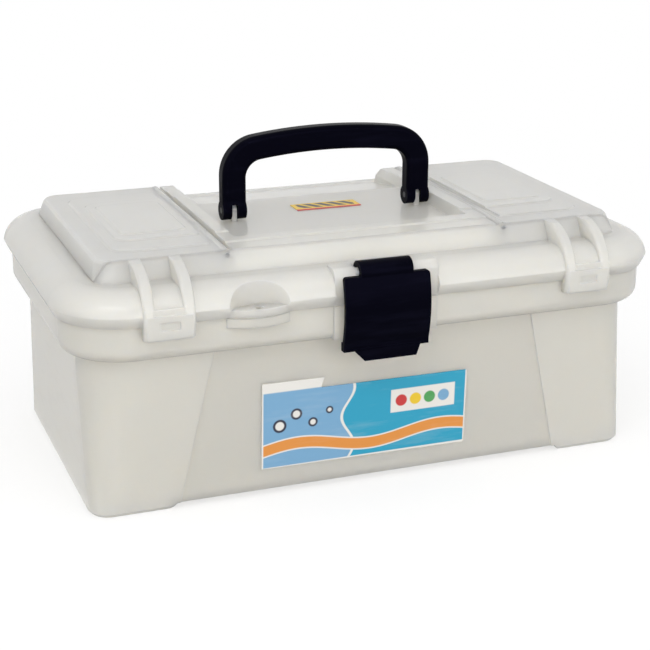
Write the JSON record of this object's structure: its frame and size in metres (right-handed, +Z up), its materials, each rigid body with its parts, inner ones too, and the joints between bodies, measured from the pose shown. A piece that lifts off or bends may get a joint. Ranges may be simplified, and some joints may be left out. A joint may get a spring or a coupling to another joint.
{
  "type": "art supply storage box",
  "caption": "Translucent plastic art supply box with a hinged lid, hinged organizer covers over top compartments, a folding carry handle and a front snap latch.",
  "frame": {"origin": "middle of the underside, on the surface that the feet stand on", "axes": "+X along the length to the right as seen from the front, -Y to the front where the latch is, +Z up"},
  "size_m": [0.3046, 0.191, 0.1617],
  "materials": {
    "translucent_polypropylene": "satin, milky translucent",
    "black_plastic": "satin black",
    "steel_pin": "drawn wire",
    "label_paper": "coated, printed",
    "sticker_paper": "coated, printed"
  },
  "bodies": {
    "bin": {"base_bin": "translucent_polypropylene", "left_lid_hinge_pin": "steel_pin", "right_lid_hinge_pin": "steel_pin", "front_label": "label_paper"},
    "lid": {"main_lid": "translucent_polypropylene", "left_cover_hinge_pin": "steel_pin", "right_cover_hinge_pin": "steel_pin", "top_sticker": "sticker_paper"},
    "left_cover": {"left_organizer_cover": "translucent_polypropylene"},
    "right_cover": {"right_organizer_cover": "translucent_polypropylene"},
    "handle": {"carry_handle": "black_plastic", "left_handle_pin": "steel_pin", "right_handle_pin": "steel_pin"},
    "latch": {"front_latch": "black_plastic"}
  },
  "joints": [
    {"name": "lid_hinge", "type": "hinge", "parent": "bin", "child": "lid", "pos_m": [0, 0.0919, 0.0953], "axis": [-1, 0, 0], "range_deg": [0, 105]},
    {"name": "left_cover_hinge", "type": "hinge", "parent": "lid", "child": "left_cover", "pos_m": [-0.0705, 0, 0.1186], "axis": [0, 1, 0], "range_deg": [0, 95]},
    {"name": "right_cover_hinge", "type": "hinge", "parent": "lid", "child": "right_cover", "pos_m": [0.0705, 0, 0.1186], "axis": [0, -1, 0], "range_deg": [0, 95]},
    {"name": "handle_fold", "type": "hinge", "parent": "lid", "child": "handle", "pos_m": [0, 0, 0.122], "axis": [-1, 0, 0], "range_deg": [-90, 90]},
    {"name": "latch_hinge", "type": "hinge", "parent": "lid", "child": "latch", "pos_m": [-0.001, -0.0846, 0.11], "axis": [-1, 0, 0], "range_deg": [0, 100]}
  ]
}
